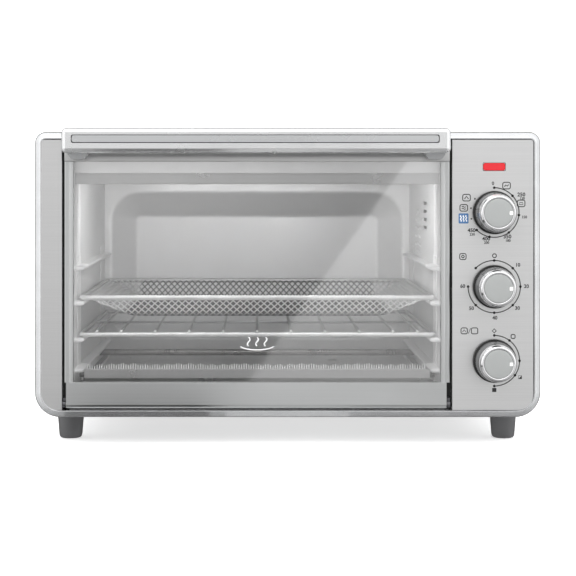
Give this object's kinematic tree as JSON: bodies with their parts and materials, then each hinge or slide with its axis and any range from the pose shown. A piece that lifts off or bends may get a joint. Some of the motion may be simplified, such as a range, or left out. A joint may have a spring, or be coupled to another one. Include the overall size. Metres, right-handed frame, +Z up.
{
  "type": "toaster oven",
  "caption": "Countertop toaster oven: steel body, drop-down glass door with full-width bar handle, turned control knobs, wire rack, mesh air-fry basket and crumb tray.",
  "frame": {"origin": "on the surface that the feet stand on, at the centre of the bounding box seen from above", "axes": "+Z up, +X to the right of a person facing the door, -Y out of the front towards that person"},
  "size_m": [0.48, 0.401, 0.2986],
  "materials": {
    "outer_shell": "satin silver paint on steel sheet",
    "base_plate": "bare zinc coated steel sheet",
    "rear_cover": "satin silver paint on steel sheet",
    "front_bezel": "silver metallised plastic",
    "left_trim_plate": "brushed stainless steel",
    "control_panel": "fine horizontal brushing",
    "indicator_lens": "clear red lens",
    "indicator_lamp": "neon bulb",
    "feet": "dark grey moulded",
    "foot_screws": "zinc plated",
    "case_screws": "zinc plated",
    "cord_gland": "black nylon",
    "cavity_top": "aluminised steel",
    "cavity_left_wall": "aluminised steel",
    "cavity_right_wall": "aluminised steel",
    "cavity_back_wall": "aluminised steel",
    "cavity_floor": "aluminised steel",
    "cavity_front_frame": "zinc coated steel",
    "upper_heater_guard": "zinc coated steel",
    "upper_front_element": "dark metal sheath",
    "upper_rear_element": "dark metal sheath",
    "lower_front_element": "dark metal sheath",
    "lower_rear_element": "dark metal sheath",
    "element_insulators": "white ceramic",
    "left_runner": "zinc coated steel",
    "right_runner": "zinc coated steel",
    "hinge_brackets": "dark steel",
    "control_bracket": "zinc coated steel",
    "thermostat": "moulded switch body",
    "timer_mechanism": "steel timer case",
    "toast_selector": "moulded switch body",
    "heat_shield": "plain aluminium sheet",
    "fan_motor": "motor body",
    "fan_housing": "plain aluminium sheet",
    "internal_wiring": "braided sleeving",
    "door_glass": "clear tempered glass",
    "door_top_rail": "satin steel",
    "door_bottom_rail": "satin steel",
    "door_left_stile": "satin steel",
    "door_right_stile": "satin steel",
    "door_handle": "satin anodised",
    "handle_insert": "brushed strip",
    "handle_brackets": "grey moulded",
    "handle_screws": "zinc plated",
    "hinge_pins": "steel pin",
    "temperature_knob": "chrome plated plastic",
    "temperature_knob_face": "matte silver disc",
    "temperature_shaft": "ground steel",
    "timer_knob": "chrome plated plastic",
    "timer_knob_face": "matte silver disc",
    "timer_shaft": "ground steel",
    "toast_knob": "chrome plated plastic",
    "toast_knob_face": "matte silver disc",
    "toast_shaft": "ground steel",
    "fan_impeller": "stamped aluminium",
    "fan_shaft": "ground steel",
    "wire_rack": "chrome plated wire",
    "basket_frame": "chrome plated wire",
    "basket_mesh": "expanded steel mesh",
    "crumb_tray": "zinc coated steel"
  },
  "bodies": {
    "oven": {"outer_shell": "outer_shell", "base_plate": "base_plate", "rear_cover": "rear_cover", "front_bezel": "front_bezel", "left_trim_plate": "left_trim_plate", "control_panel": "control_panel", "indicator_lens": "indicator_lens", "indicator_lamp": "indicator_lamp", "feet": "feet", "foot_screws": "foot_screws", "case_screws": "case_screws", "cord_gland": "cord_gland", "cavity_top": "cavity_top", "cavity_left_wall": "cavity_left_wall", "cavity_right_wall": "cavity_right_wall", "cavity_back_wall": "cavity_back_wall", "cavity_floor": "cavity_floor", "cavity_front_frame": "cavity_front_frame", "upper_heater_guard": "upper_heater_guard", "upper_front_element": "upper_front_element", "upper_rear_element": "upper_rear_element", "lower_front_element": "lower_front_element", "lower_rear_element": "lower_rear_element", "element_insulators": "element_insulators", "left_runner": "left_runner", "right_runner": "right_runner", "hinge_brackets": "hinge_brackets", "control_bracket": "control_bracket", "thermostat": "thermostat", "timer_mechanism": "timer_mechanism", "toast_selector": "toast_selector", "heat_shield": "heat_shield", "fan_motor": "fan_motor", "fan_housing": "fan_housing", "internal_wiring": "internal_wiring"},
    "door": {"door_glass": "door_glass", "door_top_rail": "door_top_rail", "door_bottom_rail": "door_bottom_rail", "door_left_stile": "door_left_stile", "door_right_stile": "door_right_stile", "door_handle": "door_handle", "handle_insert": "handle_insert", "handle_brackets": "handle_brackets", "handle_screws": "handle_screws", "hinge_pins": "hinge_pins"},
    "temperature_control": {"temperature_knob": "temperature_knob", "temperature_knob_face": "temperature_knob_face", "temperature_shaft": "temperature_shaft"},
    "timer_control": {"timer_knob": "timer_knob", "timer_knob_face": "timer_knob_face", "timer_shaft": "timer_shaft"},
    "toast_control": {"toast_knob": "toast_knob", "toast_knob_face": "toast_knob_face", "toast_shaft": "toast_shaft"},
    "fan": {"fan_impeller": "fan_impeller", "fan_shaft": "fan_shaft"},
    "rack": {"wire_rack": "wire_rack"},
    "basket": {"basket_frame": "basket_frame", "basket_mesh": "basket_mesh"},
    "tray": {"crumb_tray": "crumb_tray"}
  },
  "joints": [
    {"name": "door_hinge", "type": "hinge", "parent": "oven", "child": "door", "pos_m": [-0.029, -0.1655, 0.0376], "axis": [1, 0, 0], "range_deg": [0, 90]},
    {"name": "temperature_turn", "type": "hinge", "parent": "oven", "child": "temperature_control", "pos_m": [0.195, -0.1705, 0.2193], "axis": [0, 1, 0], "range_deg": [-90, 215]},
    {"name": "timer_turn", "type": "hinge", "parent": "oven", "child": "timer_control", "pos_m": [0.195, -0.1705, 0.1493], "axis": [0, 1, 0], "range_deg": [-135, 180]},
    {"name": "toast_turn", "type": "hinge", "parent": "oven", "child": "toast_control", "pos_m": [0.195, -0.1705, 0.0793], "axis": [0, 1, 0], "range_deg": [-90, 90]},
    {"name": "fan_spin", "type": "hinge", "parent": "oven", "child": "fan", "pos_m": [0.16, 0.0445, 0.19], "axis": [1, 0, 0], "continuous": true},
    {"name": "basket_slide", "type": "slide", "parent": "oven", "child": "basket", "axis": [0, -1, 0], "range_m": [0, 0.181]},
    {"name": "rack_slide", "type": "slide", "parent": "oven", "child": "rack", "axis": [0, -1, 0], "range_m": [0, 0.126]},
    {"name": "tray_slide", "type": "slide", "parent": "oven", "child": "tray", "axis": [0, -1, 0], "range_m": [0, 0.041]}
  ],
  "couplings": [
    {"joint": "basket_slide", "follows": "door_hinge", "m_per_rad": 0.115},
    {"joint": "rack_slide", "follows": "door_hinge", "m_per_rad": 0.08},
    {"joint": "tray_slide", "follows": "door_hinge", "m_per_rad": 0.026}
  ]
}
